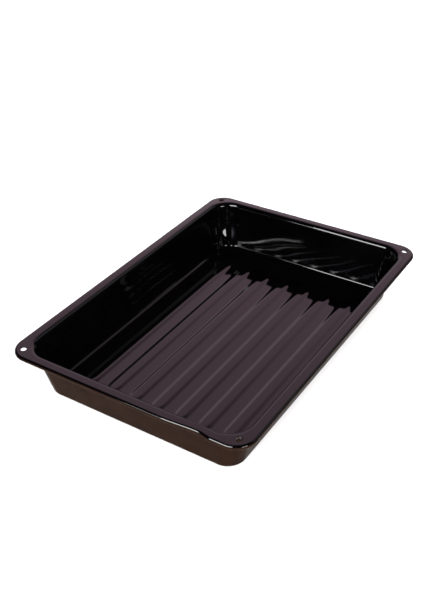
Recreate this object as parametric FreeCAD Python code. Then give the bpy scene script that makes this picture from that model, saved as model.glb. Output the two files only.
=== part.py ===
import FreeCAD, Part
import math
import os

# A deep rectangular tray pressed from one steel sheet and enamelled black all over.
# Millimetres, +Z up, +X along the long side. The origin is on the surface that the
# tray stands on, under the middle of its floor.

Vector = FreeCAD.Vector
UP = Vector(0, 0, 1)

# Overall size, over the enamel
LENGTH = 400.0
WIDTH = 280.0
DEPTH = 55.5            # from the rim's top down to the floor, inside
STEEL = 0.8             # thickness of the pressed sheet
COAT = 0.2              # thickness of the enamel on each face
SHEET = STEEL + 2 * COAT
RIM_TOP = SHEET + DEPTH

# Plan outlines: how far each lies inside the rim's outer edge, and its corner radius
RIM_CORNER = 22.0
MOUTH_INSET_X = 12.9    # where the short walls meet the rim
MOUTH_INSET_Y = 13.7    # where the long walls meet the rim
MOUTH_CORNER = 24.5
FLOOR_INSET_X = 25.1
FLOOR_INSET_Y = 26.0
FLOOR_CORNER = 18.0

# Bends between the walls and the floor, and between the walls and the rim
FLOOR_BEND = 3.5        # radius inside the tray
MOUTH_BEND = 5.2        # radius on top of the rim

# The curled edge, closed round a wire
WIRE = 1.5              # radius of the wire
WIRE_ROOM = 0.1         # play between the wire and the curl
CURL_INSIDE = WIRE + WIRE_ROOM
CURL_OUTSIDE = CURL_INSIDE + STEEL
BEAD = CURL_OUTSIDE + COAT
BEAD_HEIGHT = RIM_TOP - BEAD
COATS_MEET = 28.0       # degrees above level, on the outside of the curl
UNDER_RIM = 143.0       # degrees, where the outside coat leaves the curl for the rim

# One hanging hole in each corner of the rim
HOLE = 3.0              # clear radius, inside the enamel
HOLE_INSET_X = 12.7     # from the short outer edge
HOLE_INSET_Y = 13.3     # from the long outer edge

# Low ribs pressed up along the floor
RIB_COUNT = 7
RIB_PITCH = 28.1
RIB_HEIGHT = 0.85
RIB_TOP = 6.4           # width of the flat top
RIB_FOOT = 18.4         # width over both flanks
RIB_SLOPE = 13.5        # degrees, at the steepest part of a flank
RIB_LENGTH = 305.0

# Room for cutting tools to run past what they cut
PAST = 10.0


def outline(inset_x, inset_y, corner, height, grow=0.0):
    """A level rounded rectangle inside the rim's outer edge, grown outwards by grow."""
    half_x = LENGTH / 2 - inset_x + grow
    half_y = WIDTH / 2 - inset_y + grow
    radius = corner + grow
    edges = []
    for turn in range(4):
        quarter = math.radians(90 * turn)
        across, along = (half_x, half_y) if turn % 2 == 0 else (half_y, half_x)
        out = Vector(math.cos(quarter), math.sin(quarter), 0)
        side = Vector(-math.sin(quarter), math.cos(quarter), 0)
        start = out * across - side * (along - radius)
        end = out * across + side * (along - radius)
        centre = end - out * radius
        middle = centre + (out + side) * (radius / math.sqrt(2))
        last = centre + side * radius
        edges.append(Part.LineSegment(start, end).toShape())
        edges.append(Part.Arc(end, middle, last).toShape())
    wire = Part.Wire(edges)
    wire.translate(UP * height)
    return wire


def slab(wire, thickness):
    """The solid above a level outline."""
    return Part.Face(wire).extrude(UP * thickness)


def rib_mound(floor):
    """What lies under one rib's top face, down past a floor at the given height."""
    angle = math.radians(RIB_SLOPE)
    top = RIB_TOP / 2
    foot = RIB_FOOT / 2
    bend = ((foot - top) * math.tan(angle) - RIB_HEIGHT) / (2 / math.cos(angle) - 2)

    def shoulder(turned):
        return Vector(top + bend * math.sin(turned), 0, RIB_HEIGHT - bend + bend * math.cos(turned))

    def toe(turned):
        return Vector(foot - bend * math.sin(turned), 0, bend - bend * math.cos(turned))

    crest = Vector(0, 0, RIB_HEIGHT)
    foot_below = Vector(foot, 0, -PAST)
    middle_below = Vector(0, 0, -PAST)
    half = Part.Face(Part.Wire([
        Part.LineSegment(crest, shoulder(0)).toShape(),
        Part.Arc(shoulder(0), shoulder(angle / 2), shoulder(angle)).toShape(),
        Part.LineSegment(shoulder(angle), toe(angle)).toShape(),
        Part.Arc(toe(angle), toe(angle / 2), toe(0)).toShape(),
        Part.LineSegment(toe(0), foot_below).toShape(),
        Part.LineSegment(foot_below, middle_below).toShape(),
        Part.LineSegment(middle_below, crest).toShape(),
    ]))
    round_end = half.revolve(Vector(0, 0, 0), UP, 360)
    side = half.rotated(Vector(0, 0, 0), UP, 90)
    other_side = half.rotated(Vector(0, 0, 0), UP, -90)
    straight = RIB_LENGTH - RIB_FOOT
    pieces = []
    for end in (-straight / 2, straight / 2):
        pieces.append(round_end.translated(Vector(end, 0, floor)))
    for face in (side, other_side):
        run = face.extrude(Vector(straight, 0, 0))
        pieces.append(run.translated(Vector(-straight / 2, 0, floor)))
    return pieces[0].fuse(pieces[1:]).removeSplitter()


def rib_mounds(floor):
    """All the ribs, side by side across the floor."""
    one = rib_mound(floor)
    first = -RIB_PITCH * (RIB_COUNT - 1) / 2
    return [one.translated(Vector(0, first + RIB_PITCH * k, 0)) for k in range(RIB_COUNT)]


def space_above(under):
    """All the space above the face that lies this far under the tray's inner face."""
    floor = SHEET - under
    mouth = RIM_TOP - under
    walls = Part.makeLoft([
        outline(FLOOR_INSET_X, FLOOR_INSET_Y, FLOOR_CORNER, floor, under),
        outline(MOUTH_INSET_X, MOUTH_INSET_Y, MOUTH_CORNER, mouth, under),
    ], True, True)
    over_rim = slab(outline(0, 0, RIM_CORNER, mouth, PAST), under + PAST)
    space = walls.fuse(over_rim).removeSplitter()

    def on_level(edge, height):
        box = edge.BoundBox
        inside = box.XMax - box.XMin < LENGTH and max(abs(box.XMin), abs(box.XMax)) < LENGTH / 2
        return inside and abs(box.ZMin - height) < 0.01 and abs(box.ZMax - height) < 0.01

    space = space.makeFillet(FLOOR_BEND + under, [e for e in space.Edges if on_level(e, floor)])
    space = space.makeFillet(MOUTH_BEND - under, [e for e in space.Edges if on_level(e, mouth)])
    return space.cut(rib_mounds(floor))


def layer(upper, lower):
    """The part of the sheet between two depths under its inner face, in to the curl."""
    inside_curl = slab(outline(BEAD, BEAD, RIM_CORNER - BEAD, -PAST), RIM_TOP + 2 * PAST)
    return space_above(lower).cut(space_above(upper)).common(inside_curl)


def around_rim(section):
    """Carries a section of the curl, drawn at x = 0 to z = 0, all the way round the rim."""
    middle_x = LENGTH / 2 - RIM_CORNER
    middle_y = WIDTH / 2 - RIM_CORNER
    placed = section.translated(Vector(RIM_CORNER - BEAD, 0, BEAD_HEIGHT))
    corner = placed.revolve(Vector(0, 0, 0), UP, 90)
    pieces = []
    for turn in range(4):
        along = middle_y if turn % 2 == 0 else middle_x
        run = placed.translated(Vector(0, -2 * along, 0)).extrude(Vector(0, 2 * along, 0))
        at_x = middle_x if turn in (0, 3) else -middle_x
        at_y = middle_y if turn in (0, 1) else -middle_y
        for piece in (corner, run):
            turned = piece.rotated(Vector(0, 0, 0), UP, 90 * turn)
            pieces.append(turned.translated(Vector(at_x, at_y, 0)))
    return pieces[0].fuse(pieces[1:]).removeSplitter()


def disc(radius):
    """A round section of the curl."""
    circle = Part.makeCircle(radius, Vector(0, 0, 0), Vector(0, 1, 0))
    return Part.Face(Part.Wire(circle))


def coat_arc(first, last):
    """The enamel's section on the curl between two angles, level outwards being zero."""
    def at(radius, degrees):
        turned = math.radians(degrees)
        return Vector(radius * math.cos(turned), 0, radius * math.sin(turned))

    middle = (first + last) / 2
    return Part.Face(Part.Wire([
        Part.Arc(at(BEAD, first), at(BEAD, middle), at(BEAD, last)).toShape(),
        Part.LineSegment(at(BEAD, last), at(CURL_OUTSIDE, last)).toShape(),
        Part.Arc(at(CURL_OUTSIDE, last), at(CURL_OUTSIDE, middle), at(CURL_OUTSIDE, first)).toShape(),
        Part.LineSegment(at(CURL_OUTSIDE, first), at(BEAD, first)).toShape(),
    ]))


def hole_pegs(radius, low, high):
    """Upright cylinders at the four hanging holes."""
    pegs = []
    for side_x in (-1, 1):
        for side_y in (-1, 1):
            across = side_x * (LENGTH / 2 - HOLE_INSET_X)
            along = side_y * (WIDTH / 2 - HOLE_INSET_Y)
            pegs.append(Part.makeCylinder(radius, high - low, Vector(across, along, low)))
    return pegs


def steel_pan():
    """The pressed sheet: floor, ribs, walls, rim and the curl round its edge."""
    curl = around_rim(disc(CURL_OUTSIDE)).cut(around_rim(disc(CURL_INSIDE)))
    sheet = layer(COAT, COAT + STEEL).fuse(curl)
    return sheet.cut(hole_pegs(HOLE + COAT, 0, RIM_TOP)).removeSplitter()


def rim_wire():
    """The wire that the sheet's edge is curled round."""
    return around_rim(disc(WIRE))


def inside_enamel():
    """The coat on the inner face, over the curl and down through the holes."""
    coat = layer(0, COAT).fuse(around_rim(coat_arc(COATS_MEET, 90)))
    linings = hole_pegs(HOLE + COAT, RIM_TOP - COAT - STEEL, RIM_TOP - COAT)
    coat = coat.fuse(linings)
    return coat.cut(hole_pegs(HOLE, 0, RIM_TOP)).removeSplitter()


def outside_enamel():
    """The coat on the outer face, from under the curl to the underside of the floor."""
    coat = layer(COAT + STEEL, SHEET).cut(around_rim(disc(CURL_OUTSIDE)))
    coat = coat.fuse(around_rim(coat_arc(UNDER_RIM, COATS_MEET + 360)))
    return coat.cut(hole_pegs(HOLE, 0, RIM_TOP)).removeSplitter()


def main():
    os.makedirs("parts", exist_ok=True)
    nodes = {
        "steel_pan": steel_pan(),
        "rim_wire": rim_wire(),
        "inside_enamel": inside_enamel(),
        "outside_enamel": outside_enamel(),
    }
    for name, shape in nodes.items():
        shape.exportStep(f"parts/{name}.step")


main()
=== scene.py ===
"""A deep black enamelled tray with a ribbed floor, in a plain pale studio."""

import math

import bmesh
import bpy
from mathutils import Matrix, Vector, noise


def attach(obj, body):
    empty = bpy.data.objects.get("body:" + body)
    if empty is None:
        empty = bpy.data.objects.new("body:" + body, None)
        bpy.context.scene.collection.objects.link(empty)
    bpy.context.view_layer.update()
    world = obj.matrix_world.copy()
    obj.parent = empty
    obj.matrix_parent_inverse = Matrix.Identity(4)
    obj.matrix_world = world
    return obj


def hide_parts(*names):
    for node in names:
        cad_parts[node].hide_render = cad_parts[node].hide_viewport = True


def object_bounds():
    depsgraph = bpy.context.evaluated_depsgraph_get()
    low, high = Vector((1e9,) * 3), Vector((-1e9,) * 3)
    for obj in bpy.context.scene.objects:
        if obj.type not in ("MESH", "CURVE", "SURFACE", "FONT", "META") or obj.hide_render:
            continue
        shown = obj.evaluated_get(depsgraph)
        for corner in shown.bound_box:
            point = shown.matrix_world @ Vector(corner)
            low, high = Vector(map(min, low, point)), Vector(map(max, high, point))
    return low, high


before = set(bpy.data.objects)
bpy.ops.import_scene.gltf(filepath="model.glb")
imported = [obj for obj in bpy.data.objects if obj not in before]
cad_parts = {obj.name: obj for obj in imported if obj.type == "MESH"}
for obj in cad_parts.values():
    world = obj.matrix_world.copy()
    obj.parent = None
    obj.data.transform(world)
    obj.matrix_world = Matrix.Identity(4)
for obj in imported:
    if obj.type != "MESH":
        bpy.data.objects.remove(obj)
cad_low, cad_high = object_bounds()

# The tray's lengths are in millimetres, and become metres when its meshes are made.
# Those of the camera, the lamps and the stage are in metres.
MM = 0.001

# ---------------------------------------------------------------- the tray's shape
LENGTH = (cad_high.x - cad_low.x) / MM
WIDTH = (cad_high.y - cad_low.y) / MM
RIM_TOP = (cad_high.z - cad_low.z) / MM
STEEL = 0.8
COAT = 0.2
SHEET = STEEL + 2 * COAT

RIM_CORNER = 22.0
MOUTH_INSET = (12.9, 13.7)      # on the short walls, on the long walls
MOUTH_CORNER = 24.5
FLOOR_INSET = (25.1, 26.0)
FLOOR_CORNER = 18.0
FLOOR_BEND = 3.5
MOUTH_BEND = 5.2

BEAD = 2.6                      # radius of the curled edge, over its enamel
CURL_ROOM = 1.6                 # radius of the channel in the curl
WIRE = 1.5
BEAD_HEIGHT = RIM_TOP - BEAD
COATS_MEET = 28.0               # degrees above level, on the outside of the curl

HOLE = 3.0
HOLE_AT = (LENGTH / 2 - 12.7, WIDTH / 2 - 13.3)
LIP = 0.6                       # how far the enamel rounds off into a hole
LIP_STEPS = 6
HOLE_CHAMFER = 0.06             # on the underside of a hole
HOLE_REACH = 0.3                # how far around a hole the strip's faces are made anew

RIB_COUNT = 7
RIB_PITCH = 28.1
RIB_HEIGHT = 0.85
RIB_TOP = 3.2                   # half the flat top
RIB_FOOT = 9.2                  # half the width over both flanks
RIB_SLOPE = math.radians(13.5)
RIB_END = 152.5
RIB_RUN_OUT = 2.4               # how many times longer a rib end is than its flank is wide
RIB_SPINE = RIB_END - RIB_FOOT * RIB_RUN_OUT
RIB_BEND = ((RIB_FOOT - RIB_TOP) * math.tan(RIB_SLOPE) - RIB_HEIGHT) / (2 / math.cos(RIB_SLOPE) - 2)


def smooth(start, end, value):
    """0 before start, 1 after end, and an S-curve between; start may be the larger."""
    t = min(max((value - start) / (end - start), 0.0), 1.0)
    return t * t * (3 - 2 * t)


def spread(low, high, count):
    """Evenly spaced values from low up to, not including, high."""
    return [low + (high - low) * k / count for k in range(count)]


# ---------------------------------------------------------------- floor grid
def lines_across():
    """Y of the floor grid's lines: close together on the ribs' flanks."""
    half = RIB_PITCH / 2
    marks = []
    for k in range(RIB_COUNT):
        middle = RIB_PITCH * (k - (RIB_COUNT - 1) / 2)
        for low, high, count in (
            (-half, -RIB_FOOT, 2),
            (-RIB_FOOT, -RIB_TOP, 8),
            (-RIB_TOP, RIB_TOP, 4),
            (RIB_TOP, RIB_FOOT, 8),
            (RIB_FOOT, half, 2),
        ):
            marks += [middle + v for v in spread(low, high, count)]
    return marks + [half * RIB_COUNT]


def lines_along():
    """X of the floor grid's lines: close together at the ribs' round ends."""
    margin = RIB_END + 4
    marks = []
    for low, high, count in (
        (-margin, -RIB_END, 2),
        (-RIB_END, -RIB_SPINE, 16),
        (-RIB_SPINE, RIB_SPINE, 36),
        (RIB_SPINE, RIB_END, 16),
        (RIB_END, margin, 2),
    ):
        marks += spread(low, high, count)
    return marks + [margin]


GRID_X = lines_along()
GRID_Y = lines_across()


def rib_height(x, y):
    """How far the ribs raise the floor at a point."""
    nearest = RIB_PITCH * min(max(round(y / RIB_PITCH), -(RIB_COUNT // 2)), RIB_COUNT // 2)
    away = math.hypot(max(abs(x) - RIB_SPINE, 0.0) / RIB_RUN_OUT, y - nearest)
    if away <= RIB_TOP:
        return RIB_HEIGHT
    if away >= RIB_FOOT:
        return 0.0
    turn = RIB_BEND * math.sin(RIB_SLOPE)
    if away < RIB_TOP + turn:
        return RIB_HEIGHT - RIB_BEND + math.sqrt(RIB_BEND**2 - (away - RIB_TOP) ** 2)
    if away > RIB_FOOT - turn:
        return RIB_BEND - math.sqrt(RIB_BEND**2 - (RIB_FOOT - away) ** 2)
    toe = RIB_BEND - RIB_BEND * math.cos(RIB_SLOPE)
    return toe + (RIB_FOOT - turn - away) * math.tan(RIB_SLOPE)


# ---------------------------------------------------------------- loops round the tray
RIM_STEPS = 6                    # strips across the level rim
CURL_STEPS = 20                  # strips round the enamel's part of the curl


def loop(insets, radius, heights):
    """A level loop inside the rim's edge, its points in step with the floor grid's border."""
    half = (LENGTH / 2 - insets[0], WIDTH / 2 - insets[1])
    middle = (heights[0] + heights[1]) / 2
    points = []
    for turn in range(4):
        this, other = turn % 2, 1 - turn % 2
        cuts = GRID_Y if this == 0 else GRID_X
        straight = half[other] - radius
        reach = straight + radius * math.pi / 4
        for cut in cuts[:-1]:
            along = cut / cuts[-1] * reach
            bend = max(abs(along) - straight, 0.0) / radius
            out = half[this] - radius + radius * math.cos(bend)
            side = math.copysign(min(abs(along), straight) + radius * math.sin(bend), along)
            z = heights[this] + (middle - heights[this]) * bend / (math.pi / 4)
            x, y = ((out, side), (-side, out), (-out, -side), (side, -out))[turn]
            points.append(Vector((x, y, z)))
    return points


def wall_line(depth, side, z):
    """Inset of a wall's straight line at a height, for a face this deep in the sheet."""
    share = (z - (SHEET - depth)) / (RIM_TOP - SHEET)
    return FLOOR_INSET[side] - depth + (MOUTH_INSET[side] - FLOOR_INSET[side]) * share


def corner_line(depth, z):
    """Radius of the wall's corner at a height."""
    share = (z - (SHEET - depth)) / (RIM_TOP - SHEET)
    return FLOOR_CORNER + depth + (MOUTH_CORNER - FLOOR_CORNER) * share


def lean(side):
    """A wall's angle from upright."""
    return math.atan((FLOOR_INSET[side] - MOUTH_INSET[side]) / (RIM_TOP - SHEET))


def station(depth, place):
    """A loop from place(side) = (inset, height), its corners in keeping with the walls'."""
    (inset_x, z_x), (inset_y, z_y) = place(0), place(1)
    off = ((inset_x - wall_line(depth, 0, z_x)) + (inset_y - wall_line(depth, 1, z_y))) / 2
    radius = corner_line(depth, (z_x + z_y) / 2) - off
    return (inset_x, inset_y), radius, (z_x, z_y)


def climb(depth, floor_steps=8, wall_steps=16, mouth_steps=7):
    """Stations from the floor, up a wall and over onto the rim."""
    floor_radius = FLOOR_BEND + depth
    mouth_radius = MOUTH_BEND - depth
    stations = []

    def floor_bend(turned):
        def place(side):
            back = floor_radius * math.tan((math.pi / 2 - lean(side)) / 2)
            angle = 1.5 * math.pi - (math.pi / 2 - lean(side)) * turned
            inset = FLOOR_INSET[side] - depth + back + floor_radius * math.cos(angle)
            return inset, SHEET - depth + floor_radius + floor_radius * math.sin(angle)
        return station(depth, place)

    def mouth_bend(turned):
        def place(side):
            back = mouth_radius * math.tan((math.pi / 2 - lean(side)) / 2)
            angle = lean(side) + (math.pi / 2 - lean(side)) * turned
            inset = MOUTH_INSET[side] - depth - back + mouth_radius * math.cos(angle)
            return inset, RIM_TOP - depth - mouth_radius + mouth_radius * math.sin(angle)
        return station(depth, place)

    for k in range(floor_steps + 1):
        stations.append(floor_bend(k / floor_steps))
    low, high = stations[-1], mouth_bend(0.0)
    for k in range(1, wall_steps):
        share = k / wall_steps
        heights = tuple(low[2][s] + (high[2][s] - low[2][s]) * share for s in (0, 1))
        stations.append(station(depth, lambda s: (wall_line(depth, s, heights[s]), heights[s])))
    for k in range(mouth_steps + 1):
        stations.append(mouth_bend(k / mouth_steps))
    return stations


def curl(radius, first, last, steps):
    """Stations round the curled edge between two angles, level outwards being zero."""
    stations = []
    for k in range(steps + 1):
        angle = math.radians(first + (last - first) * k / steps)
        inset = BEAD - radius * math.cos(angle)
        z = BEAD_HEIGHT + radius * math.sin(angle)
        stations.append(((inset, inset), RIM_CORNER - inset, (z, z)))
    return stations


def rim_flat(inner, outer):
    """Stations across the level rim, between two that are already there."""
    stations = []
    for k in range(1, RIM_STEPS):
        share = k / RIM_STEPS
        insets = tuple(inner[0][s] + (outer[0][s] - inner[0][s]) * share for s in (0, 1))
        stations.append((insets, inner[1] + (outer[1] - inner[1]) * share, inner[2]))
    return stations


# ---------------------------------------------------------------- how the real tray strays
WALL_WAVE = 0.35
WAVE_LENGTH = 46.0
SWAY_X = Vector((-17.4, 9.0, 6.6))   # where in the noise each sideways wave is read
SWAY_Y = Vector((3.3, -12.8, 9.4))
RIM_WAVE = 0.08
FLOOR_WAVE = 0.03
LIFT_LENGTH = 70.0                   # length of the floor's and the rim's slow waves

KNOCK = 2.2                          # depth of the knock in the rim's left short side
KNOCK_NEAR = (-104.0, -91.0)         # where along Y it begins and is full, at its sharp end
KNOCK_FAR = (-52.0, -88.0)           # the same at its long end

CORNER_FILL = 1.7                    # how far the foot of the back corner is drawn in
CORNER_AT = (LENGTH / 2 - FLOOR_INSET[0] - FLOOR_CORNER, WIDTH / 2 - FLOOR_INSET[1] - FLOOR_CORNER)


def settle(p):
    """Moves a point of the ideal tray by the pressing's slight waves and its two faults."""
    x, y, z = p
    # How much of each wave there is at this height
    rim = smooth(38.0, 52.0, z)
    wall = smooth(4.0, 16.0, z) * smooth(52.0, 42.0, z)
    floor = smooth(6.0, 3.0, z)
    here = Vector((x, y, z * 1.5)) / WAVE_LENGTH
    lift = noise.noise(Vector((x / LIFT_LENGTH, y / LIFT_LENGTH, 3.0)))
    x += WALL_WAVE * wall * noise.noise(here + SWAY_X)
    y += WALL_WAVE * wall * noise.noise(here + SWAY_Y)
    z -= RIM_WAVE * rim * (1 + lift)
    z += FLOOR_WAVE * floor * (1 + lift)
    x += KNOCK * knock_share(x, y, z)
    out_x, out_y = x - CORNER_AT[0], y - CORNER_AT[1]
    if out_x > 0 and out_y > 0:
        bearing = math.atan2(out_y, out_x)
        fill = corner_fill(bearing, math.hypot(out_x, out_y), z)
        x -= fill * math.cos(bearing)
        y -= fill * math.sin(bearing)
    return Vector((x, y, z))


def knock_share(x, y, z):
    """How much of the knock's depth reaches a point: none away from the rim's left side."""
    along = smooth(*KNOCK_FAR, y) * smooth(*KNOCK_NEAR, y)
    across = smooth(-LENGTH / 2 + 14.0, -LENGTH / 2 + 6.0, x) * smooth(34.0, 50.0, z)
    return along * across


def corner_fill(bearing, reach, z):
    """How far the back corner is drawn in at its foot, and pressed out half way up."""
    fill = smooth(32.0, 4.0, z) - smooth(4.0, 32.0, z) * smooth(52.0, 34.0, z)
    fill *= CORNER_FILL * min(1.6 * math.sin(2 * bearing), 1.0)
    return fill * smooth(6.0, 16.0, reach)


# ---------------------------------------------------------------- building a layer
def quads_between(bm, ring_a, ring_b):
    """A band of faces between two loops of the same number of points."""
    count = len(ring_a)
    faces = []
    for k in range(count):
        n = (k + 1) % count
        faces.append(bm.faces.new((ring_a[k], ring_a[n], ring_b[n], ring_b[k])))
    return faces


def add_floor(bm, depth):
    """The floor's grid, with the ribs. Gives its border in the order of the loops."""
    nx, ny = len(GRID_X), len(GRID_Y)
    base = SHEET - depth
    grid = [[bm.verts.new((x, y, base + rib_height(x, y))) for y in GRID_Y] for x in GRID_X]
    for i in range(nx - 1):
        for j in range(ny - 1):
            bm.faces.new((grid[i][j], grid[i + 1][j], grid[i + 1][j + 1], grid[i][j + 1]))
    border = [grid[nx - 1][j] for j in range(ny - 1)]
    border += [grid[i][ny - 1] for i in range(nx - 1, 0, -1)]
    border += [grid[0][j] for j in range(ny - 1, 0, -1)]
    border += [grid[i][0] for i in range(nx - 1)]
    return border


def add_margin(bm, border, ring, steps=6):
    """The level strip between the grid's straight border and the rounded floor bend."""
    last = border
    for k in range(1, steps):
        share = k / steps
        row = [bm.verts.new(a.co.lerp(b.co, share)) for a, b in zip(border, ring)]
        quads_between(bm, last, row)
        last = row
    quads_between(bm, last, ring)


def crease(ring):
    """Keeps the shading of the two sides of a loop apart."""
    count = len(ring)
    for k in range(count):
        for edge in ring[k].link_edges:
            if edge.other_vert(ring[k]) is ring[(k + 1) % count]:
                edge.smooth = False


def round_loop(bm, centre, radius, z, count=48):
    """A level circle of points."""
    ring = []
    for k in range(count):
        angle = 2 * math.pi * k / count
        ring.append(bm.verts.new((centre[0] + radius * math.cos(angle),
                                  centre[1] + radius * math.sin(angle), z)))
    return ring


def near_hole(face, centre, reach):
    """Whether any of a face's sides comes within reach of a point on the rim."""
    corners = [Vector((v.co.x, v.co.y)) for v in face.verts]
    middle = Vector(centre)
    for a, b in zip(corners, corners[1:] + corners[:1]):
        run = b - a
        share = min(max((middle - a).dot(run) / max(run.length_squared, 1e-9), 0.0), 1.0)
        if (a + run * share - middle).length < reach:
            return True
    return False


def open_hole(bm, faces, centre, radius, z):
    """Cuts a round hole in a level strip and gives its edge."""
    cut = [f for f in faces if f.is_valid and near_hole(f, centre, radius + HOLE_REACH)]
    cut_set = set(cut)
    edges = [e for f in cut for e in f.edges if sum(g in cut_set for g in e.link_faces) == 1]
    bmesh.ops.delete(bm, geom=cut, context="FACES_ONLY")
    loose = [e for e in bm.edges if e.is_wire]
    bmesh.ops.delete(bm, geom=[e for e in loose if e not in set(edges)], context="EDGES")
    ring = round_loop(bm, centre, radius, z)
    rim_edges = [bm.edges.new((ring[k], ring[(k + 1) % len(ring)])) for k in range(len(ring))]
    bmesh.ops.triangle_fill(bm, use_beauty=True, edges=edges + rim_edges)
    return ring


def add_holes(bm, upper, lower, profile):
    """Four hanging holes through a layer. The profile runs (radius, height) from the top."""
    for sx in (-1, 1):
        for sy in (-1, 1):
            centre = (sx * HOLE_AT[0], sy * HOLE_AT[1])
            top = open_hole(bm, upper, centre, *profile[0])
            bottom = open_hole(bm, lower, centre, *profile[-1])
            last = top
            for radius, z in profile[1:-1]:
                row = round_loop(bm, centre, radius, z)
                quads_between(bm, last, row)
                last = row
            quads_between(bm, last, bottom)


def finish_piece(bm, name, material, hollow=()):
    """Settles the points, turns millimetres into metres and makes the object.

    The faces in hollow line a closed space inside the piece, so they face into it.
    """
    bmesh.ops.recalc_face_normals(bm, faces=bm.faces)
    bmesh.ops.reverse_faces(bm, faces=list(hollow))
    for v in bm.verts:
        v.co = settle(v.co) * MM
    for f in bm.faces:
        f.smooth = True
    mesh = bpy.data.meshes.new(name)
    bm.to_mesh(mesh)
    bm.free()
    mesh.materials.append(material)
    piece = bpy.data.objects.new(name, mesh)
    bpy.context.scene.collection.objects.link(piece)
    return piece


def add_layer(bm, depths, edge, hole):
    """A closed layer of the sheet between two depths, with edge stations at the curl.

    Gives its loops, and the number of the first one at the curl.
    """
    upper, lower = (climb(depth) for depth in depths)
    start, end = edge[0], edge[-1]
    stations = upper + rim_flat(upper[-1], start) + edge
    stations += rim_flat(end, lower[-1]) + lower[::-1]
    rings = [[bm.verts.new(p) for p in loop(*s)] for s in stations]
    upper_flat, lower_flat = [], []
    first_flat = len(upper) - 1
    last_flat = len(stations) - len(lower)
    for k in range(len(rings) - 1):
        faces = quads_between(bm, rings[k], rings[k + 1])
        if first_flat <= k < first_flat + RIM_STEPS:
            upper_flat += faces
        elif last_flat - RIM_STEPS <= k < last_flat:
            lower_flat += faces
    add_margin(bm, add_floor(bm, depths[0]), rings[0])
    add_margin(bm, add_floor(bm, depths[1]), rings[-1])
    add_holes(bm, upper_flat, lower_flat, hole)
    return rings, first_flat + RIM_STEPS


def add_tube(bm, radius):
    """A closed tube round the rim, along the middle of the curl."""
    rings = [[bm.verts.new(p) for p in loop(*s)] for s in curl(radius, 0, 360, 12)[:-1]]
    faces = []
    for a, b in zip(rings, rings[1:] + rings[:1]):
        faces += quads_between(bm, a, b)
    return faces


def make_inside_coat(material):
    """The black coat: inner face, rim, top of the bead, and down through the holes."""
    bm = bmesh.new()
    outer = curl(BEAD, 90, COATS_MEET, CURL_STEPS)
    inner = curl(BEAD - COAT, COATS_MEET, 90, CURL_STEPS)
    lip = []
    for k in range(LIP_STEPS + 1):
        angle = math.pi / 2 * (1 + k / LIP_STEPS)
        lip.append((HOLE + LIP + LIP * math.cos(angle), RIM_TOP - LIP + LIP * math.sin(angle)))
    hole = lip + [
        (HOLE, RIM_TOP - COAT - STEEL),
        (HOLE + COAT, RIM_TOP - COAT - STEEL),
        (HOLE + COAT, RIM_TOP - COAT),
    ]
    rings, at = add_layer(bm, (0.0, COAT), outer + inner, hole)
    crease(rings[at + CURL_STEPS])
    crease(rings[at + CURL_STEPS + 1])
    return finish_piece(bm, "inside_coat", material)


def under_rim(radius, depth):
    """Angle at which the curl's outside meets a face of the level rim."""
    return 180 - math.degrees(math.asin((RIM_TOP - depth - BEAD_HEIGHT) / radius))


def make_outside_coat(material):
    """The brown coat: outer side of the bead, under the rim, outer walls and under the floor. Its
    brown is partly its own and partly a painted reflection.
    """
    bm = bmesh.new()
    deep = COAT + STEEL
    inner = curl(BEAD - COAT, under_rim(BEAD - COAT, deep), COATS_MEET + 360, CURL_STEPS)
    outer = curl(BEAD, COATS_MEET + 360, under_rim(BEAD, SHEET), CURL_STEPS)
    hole = [
        (HOLE, RIM_TOP - deep),
        (HOLE, RIM_TOP - SHEET + HOLE_CHAMFER),
        (HOLE + HOLE_CHAMFER, RIM_TOP - SHEET),
    ]
    rings, at = add_layer(bm, (deep, SHEET), inner + outer, hole)
    for sharp in (0, CURL_STEPS, CURL_STEPS + 1, 2 * CURL_STEPS + 1):
        crease(rings[at + sharp])
    return finish_piece(bm, "outside_coat", material)


def make_sheet(material):
    """The pressed steel, with the channel that its curl leaves for the wire."""
    bm = bmesh.new()
    deep = COAT + STEEL
    around = curl(BEAD - COAT, 90, under_rim(BEAD - COAT, deep) - 360, 2 * CURL_STEPS)
    hole = [(HOLE + COAT, RIM_TOP - COAT), (HOLE + COAT, RIM_TOP - deep)]
    rings, at = add_layer(bm, (COAT, deep), around, hole)
    crease(rings[at + 2 * CURL_STEPS])
    return finish_piece(bm, "pressed_sheet", material, hollow=add_tube(bm, CURL_ROOM))


def make_wire(material):
    """The wire that the edge is curled round."""
    bm = bmesh.new()
    add_tube(bm, WIRE)
    return finish_piece(bm, "edge_wire", material)


# ---------------------------------------------------------------- materials
def new_material(name):
    """A material, its nodes, its links and its shader."""
    material = bpy.data.materials.new(name)
    material.use_nodes = True
    nodes = material.node_tree.nodes
    return material, nodes, material.node_tree.links, nodes["Principled BSDF"]


def noise_node(nodes, links, scale, detail, roughness=0.5, stretch=None):
    """Noise fixed to the object, stretched along its axes where that is asked for."""
    where = nodes.new("ShaderNodeTexCoord")
    node = nodes.new("ShaderNodeTexNoise")
    node.inputs["Scale"].default_value = scale
    node.inputs["Detail"].default_value = detail
    node.inputs["Roughness"].default_value = roughness
    if stretch:
        mapping = nodes.new("ShaderNodeMapping")
        mapping.inputs["Scale"].default_value = stretch
        links.new(where.outputs["Object"], mapping.inputs["Vector"])
        links.new(mapping.outputs["Vector"], node.inputs["Vector"])
    else:
        links.new(where.outputs["Object"], node.inputs["Vector"])
    return node


def ramp(nodes, links, source, stops):
    """A colour for each value of source, from stops of (value, colour)."""
    node = nodes.new("ShaderNodeValToRGB")
    elements = node.color_ramp.elements
    while len(elements) < len(stops):
        elements.new(0.5)
    for element, (at, colour) in zip(elements, stops):
        element.position = at
        element.color = (*colour, 1.0)
    links.new(source, node.inputs["Fac"])
    return node


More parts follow.
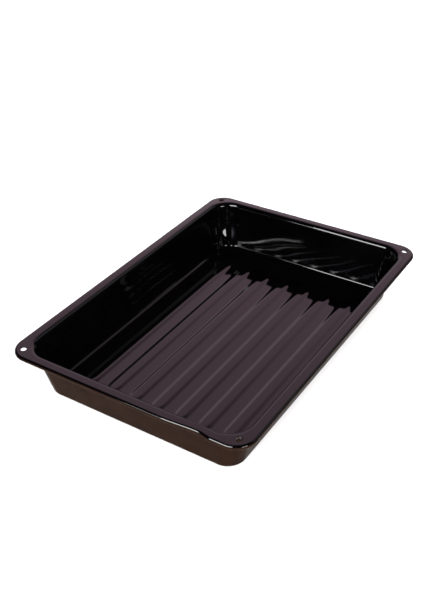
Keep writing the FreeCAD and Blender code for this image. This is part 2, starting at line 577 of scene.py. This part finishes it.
def spread_value(nodes, links, source, low, high):
    """Turns noise into values from low to high."""
    node = nodes.new("ShaderNodeMapRange")
    node.inputs["From Min"].default_value = 0.3
    node.inputs["From Max"].default_value = 0.7
    node.inputs["To Min"].default_value = low
    node.inputs["To Max"].default_value = high
    links.new(source, node.inputs["Value"])
    return node


def enamel(name, dark, light, patches, rough, ripple):
    """Glossy vitreous enamel: mottled colour, uneven gloss and a faint orange peel."""
    material, nodes, links, shader = new_material(name)
    mottle = noise_node(nodes, links, patches, 4.0, 0.6)
    colour = ramp(nodes, links, mottle.outputs["Fac"], ((0.28, dark), (0.72, light)))
    links.new(colour.outputs["Color"], shader.inputs["Base Color"])
    cloud = noise_node(nodes, links, 60.0, 3.0)
    gloss = spread_value(nodes, links, cloud.outputs["Fac"], *rough)
    links.new(gloss.outputs["Result"], shader.inputs["Roughness"])
    peel = noise_node(nodes, links, 320.0, 2.0)
    bump = nodes.new("ShaderNodeBump")
    bump.inputs["Strength"].default_value = ripple
    bump.inputs["Distance"].default_value = 0.0002
    links.new(peel.outputs["Fac"], bump.inputs["Height"])
    links.new(bump.outputs["Normal"], shader.inputs["Normal"])
    shader.inputs["IOR"].default_value = 1.5
    return material, shader


def steel(name, colour, stretch):
    """Drawn or rolled bare steel, with fine lines along it."""
    material, nodes, links, shader = new_material(name)
    lines = noise_node(nodes, links, 120.0, 3.0, stretch=stretch)
    darker = tuple(c * 0.7 for c in colour)
    tint = ramp(nodes, links, lines.outputs["Fac"], ((0.3, darker), (0.7, colour)))
    links.new(tint.outputs["Color"], shader.inputs["Base Color"])
    gloss = spread_value(nodes, links, lines.outputs["Fac"], 0.28, 0.45)
    links.new(gloss.outputs["Result"], shader.inputs["Roughness"])
    shader.inputs["Metallic"].default_value = 1.0
    return material


# ---------------------------------------------------------------- camera
# Worked out from the four corners of the rim, which is a rectangle seen in perspective.
LENS = 52.37
CAMERA_AT = (-0.6700, -0.4200, 0.5845)
CAMERA_RIGHT = (0.5397, -0.8417, -0.0187)
CAMERA_BACK = (-0.6926, -0.4565, 0.5585)


def make_camera():
    """The photo's viewpoint."""
    data = bpy.data.cameras.new("camera")
    data.lens = LENS
    data.sensor_width = 36.0
    data.sensor_fit = "AUTO"
    camera = bpy.data.objects.new("camera", data)
    right = Vector(CAMERA_RIGHT).normalized()
    back = Vector(CAMERA_BACK).normalized()
    up = back.cross(right).normalized()
    right = up.cross(back)
    turn = Matrix((right, up, back)).transposed().to_4x4()
    camera.matrix_world = Matrix.Translation(CAMERA_AT) @ turn
    bpy.context.scene.collection.objects.link(camera)
    bpy.context.scene.camera = camera


# ---------------------------------------------------------------- lamps
BOX_AIM_HEIGHT = 0.10
LEFT_BOX_X = -1.40
LEFT_BOX_FAR = 0.77              # Y of the left box's far side
LEFT_BOX_STRIPS = (              # top, bottom, Y of the near side, brightness, colour
    (1.45, 0.75, -0.42, 14.0, (1.0, 1.0, 1.0)),
    (0.75, 0.60, -0.20, 10.0, (1.0, 1.0, 1.0)),
    (0.60, 0.52, -0.20, 3.5, (0.95, 0.97, 1.0)),
    (0.52, 0.44, -0.30, 1.1, (0.85, 0.88, 1.0)),
    (0.44, 0.32, -0.30, 0.35, (0.65, 0.70, 1.0)),
)
RIGHT_BOX_AT = (-0.95, -2.20, 1.02)
RIGHT_BOX_SIZE = (0.95, 0.55)
RIGHT_BOX_POWER = 20.0


def add_lamp(name, data, towards):
    """Puts a lamp in the scene, shining along a direction."""
    light = bpy.data.objects.new(name, data)
    light.rotation_mode = "QUATERNION"
    light.rotation_quaternion = Vector(towards).to_track_quat("-Z", "Y")
    bpy.context.scene.collection.objects.link(light)
    return light


def soft_box(name, middle, aim, size, power, colour=(1.0, 1.0, 1.0)):
    """A white panel that the enamel mirrors; it does not light the pale surfaces."""
    data = bpy.data.lights.new(name, "AREA")
    data.shape = "RECTANGLE"
    data.size, data.size_y = size
    data.energy = power
    data.color = colour
    light = add_lamp(name, data, Vector(aim) - Vector(middle))
    light.location = middle
    light.visible_diffuse = False


def left_box():
    """A tall box that fades towards its lower edge, made of strips one above another."""
    for top, bottom, near, glow, colour in LEFT_BOX_STRIPS:
        tall = top - bottom
        wide = LEFT_BOX_FAR - near
        middle = (LEFT_BOX_FAR + near) / 2
        soft_box("left_box", (LEFT_BOX_X, middle, (top + bottom) / 2), (0.0, middle, BOX_AIM_HEIGHT),
                 (wide, tall), glow * math.pi * wide * tall, colour)


def sun(name, energy, angle, towards):
    """A broad soft light for the pale surfaces; the enamel does not mirror it."""
    data = bpy.data.lights.new(name, "SUN")
    data.energy = energy
    data.angle = math.radians(angle)
    add_lamp(name, data, towards).visible_glossy = False


# ---------------------------------------------------------------- surroundings
# What the enamel mirrors: a pinkish surface beyond the tray, dark above and to the sides.
# Heights are the sine of the angle above level; bearings are degrees from +X towards +Y.
BACKDROP_HEIGHTS = (
    (0.0, (0.30, 0.24, 0.27)),
    (0.33, (0.52, 0.40, 0.46)),
    (0.46, (1.08, 0.83, 0.96)),
    (0.52, (0.72, 0.50, 0.61)),
    (0.68, (0.70, 0.49, 0.59)),
    (0.78, (0.42, 0.295, 0.365)),
    (0.88, (0.03, 0.025, 0.03)),
)
BACKDROP_BEARINGS = (2.0, 54.0, 7.0)     # from, to, and the edge over which it falls off
BACKDROP_GAIN = (1.15, 0.03)             # within and beyond them
STRIP_BEARINGS = (-48.0, -20.0, 4.0)
STRIP_SLOPE = 0.46                       # how fast the strip lamp climbs, for each radian
STRIP_HEIGHTS = (0.33, 0.43, 0.04)       # from, to and edge, at a bearing of zero
STRIP_GAIN = 1.4


def math_node(nodes, links, operation, *values):
    """A sum of sockets and numbers, in the order that the operation takes them."""
    node = nodes.new("ShaderNodeMath")
    node.operation = operation
    for socket, value in zip(node.inputs, values):
        if isinstance(value, float):
            socket.default_value = value
        else:
            links.new(value, socket)
    return node.outputs["Value"]


def band(nodes, links, source, limits, inside=1.0, outside=0.0):
    """One value where source lies within limits, falling to another over their edge."""
    low, high, edge = limits
    away = math_node(nodes, links, "SUBTRACT", source, (low + high) / 2)
    fall = nodes.new("ShaderNodeMapRange")
    fall.interpolation_type = "SMOOTHSTEP"
    fall.inputs["From Min"].default_value = (high - low) / 2
    fall.inputs["From Max"].default_value = (high - low) / 2 + edge
    fall.inputs["To Min"].default_value = inside
    fall.inputs["To Max"].default_value = outside
    links.new(math_node(nodes, links, "ABSOLUTE", away), fall.inputs["Value"])
    return fall.outputs["Result"]


def radians(limits):
    """Turns each of some angles from degrees to radians."""
    return tuple(math.radians(value) for value in limits)


def strip_glow(nodes, links, bearing, height):
    """A long thin lamp off to the right, seen as the grey line along the floor's left side."""
    wide = band(nodes, links, bearing, radians(STRIP_BEARINGS))
    level = math_node(nodes, links, "MULTIPLY_ADD", bearing, STRIP_SLOPE, height)
    tall = band(nodes, links, level, STRIP_HEIGHTS)
    both = math_node(nodes, links, "MULTIPLY", wide, tall)
    return math_node(nodes, links, "MULTIPLY", both, STRIP_GAIN)


def make_world():
    """Surroundings that the enamel mirrors: the backdrop and the strip lamp."""
    world = bpy.data.worlds.new("studio")
    world.use_nodes = True
    bpy.context.scene.world = world
    nodes, links = world.node_tree.nodes, world.node_tree.links
    where = nodes.new("ShaderNodeTexCoord")
    split = nodes.new("ShaderNodeSeparateXYZ")
    links.new(where.outputs["Generated"], split.inputs["Vector"])
    height = split.outputs["Z"]
    bearing = math_node(nodes, links, "ARCTAN2", split.outputs["Y"], split.outputs["X"])
    colour = ramp(nodes, links, height, BACKDROP_HEIGHTS)
    side = band(nodes, links, bearing, radians(BACKDROP_BEARINGS), *BACKDROP_GAIN)
    dimmed = nodes.new("ShaderNodeVectorMath")
    dimmed.operation = "SCALE"
    links.new(colour.outputs["Color"], dimmed.inputs[0])
    links.new(side, dimmed.inputs["Scale"])
    add = nodes.new("ShaderNodeMix")
    add.data_type = "RGBA"
    add.blend_type = "ADD"
    add.inputs["Factor"].default_value = 1.0
    links.new(dimmed.outputs["Vector"], add.inputs["A"])
    links.new(strip_glow(nodes, links, bearing, height), add.inputs["B"])
    links.new(add.outputs["Result"], nodes["Background"].inputs["Color"])


# ---------------------------------------------------------------- stage
FLOOR_LEVEL = -0.0003
FLOOR_HALF = 5.0
WALL_RADIUS = 4.8
WALL_HEIGHT = 5.0


def studio_object(bm, name, material):
    """Makes a part of the studio from a mesh."""
    mesh = bpy.data.meshes.new(name)
    bm.to_mesh(mesh)
    bm.free()
    mesh.materials.append(material)
    made = bpy.data.objects.new(name, mesh)
    bpy.context.scene.collection.objects.link(made)
    return made


def make_floor():
    """The pale floor. Gives its material."""
    bm = bmesh.new()
    bmesh.ops.create_grid(bm, x_segments=24, y_segments=24, size=FLOOR_HALF)
    for v in bm.verts:
        v.co.z = FLOOR_LEVEL
    material, nodes, links, shader = new_material("pale_floor")
    grain = noise_node(nodes, links, 3.0, 2.0)
    stops = ((0.3, (0.88, 0.88, 0.88)), (0.7, (0.9, 0.9, 0.9)))
    colour = ramp(nodes, links, grain.outputs["Fac"], stops)
    links.new(colour.outputs["Color"], shader.inputs["Base Color"])
    shader.inputs["Roughness"].default_value = 0.9
    shader.inputs["Specular IOR Level"].default_value = 0.1
    floor = studio_object(bm, "pale_floor", material)
    return material


def make_backdrop(floor_material):
    """A round pale wall far behind the floor. Only the camera sees it."""
    material = floor_material.copy()
    material.name = "pale_backdrop"
    shader = material.node_tree.nodes["Principled BSDF"]
    shader.inputs["Emission Color"].default_value = (1.0, 1.0, 1.0, 1.0)
    shader.inputs["Emission Strength"].default_value = 0.6
    bm = bmesh.new()
    low = round_loop(bm, (0.0, 0.0), WALL_RADIUS, FLOOR_LEVEL)
    high = round_loop(bm, (0.0, 0.0), WALL_RADIUS, WALL_HEIGHT)
    for face in quads_between(bm, high, low):
        face.smooth = True
    wall = studio_object(bm, "pale_backdrop", material)
    wall.visible_diffuse = False
    wall.visible_glossy = False
    wall.visible_shadow = False


# ---------------------------------------------------------------- the scene
make_camera()

black, _ = enamel("black_enamel", dark=(0.0002, 0.0002, 0.0002), light=(0.0008, 0.0007, 0.0008),
                  patches=35.0, rough=(0.03, 0.05), ripple=0.05)
# The brown coat's base colour is partly the enamel's own brown-black and partly a painted reflection
# of a warm-coloured surface under the tray, which the pale floor does not give.
brown, outside_shader_with_painted_reflection = enamel("brown_black_enamel", dark=(0.0128, 0.0063, 0.0041),
                             light=(0.0212, 0.0104, 0.0066), patches=45.0,
                             rough=(0.08, 0.14), ripple=0.10)
# Painted reflection: the warm specular tint turns the pale floor's mirror image in the outer walls
# brown.
outside_shader_with_painted_reflection.inputs["Specular Tint"].default_value = (1.0, 0.62, 0.46, 1.0)
outside_shader_with_painted_reflection.inputs["Specular IOR Level"].default_value = 0.006
sheet_steel = steel("bare_steel", (0.45, 0.44, 0.43), (0.15, 1.0, 1.0))
wire_steel = steel("steel_wire", (0.50, 0.50, 0.49), (1.0, 1.0, 1.0))

for make, material, node, slot in (
    (make_inside_coat, black, "inside_enamel", "black_enamel"),
    (make_outside_coat, brown, "outside_enamel", "brown_black_enamel"),
    (make_sheet, sheet_steel, "steel_pan", "bare_steel"),
    (make_wire, wire_steel, "rim_wire", "steel_wire"),
):
    piece = make(material)
    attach(piece, "root")
    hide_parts(node)

make_world()
make_backdrop(make_floor())
left_box()
soft_box("right_box", RIGHT_BOX_AT, (0.0, 0.0, BOX_AIM_HEIGHT), RIGHT_BOX_SIZE, RIGHT_BOX_POWER)
sun("top_light", 3.1, 120, (0.12, 0.12, -1.0))
sun("front_light", 5.4, 50, (0.69, 0.46, -0.56))
bpy.context.scene.view_settings.view_transform = "Standard"
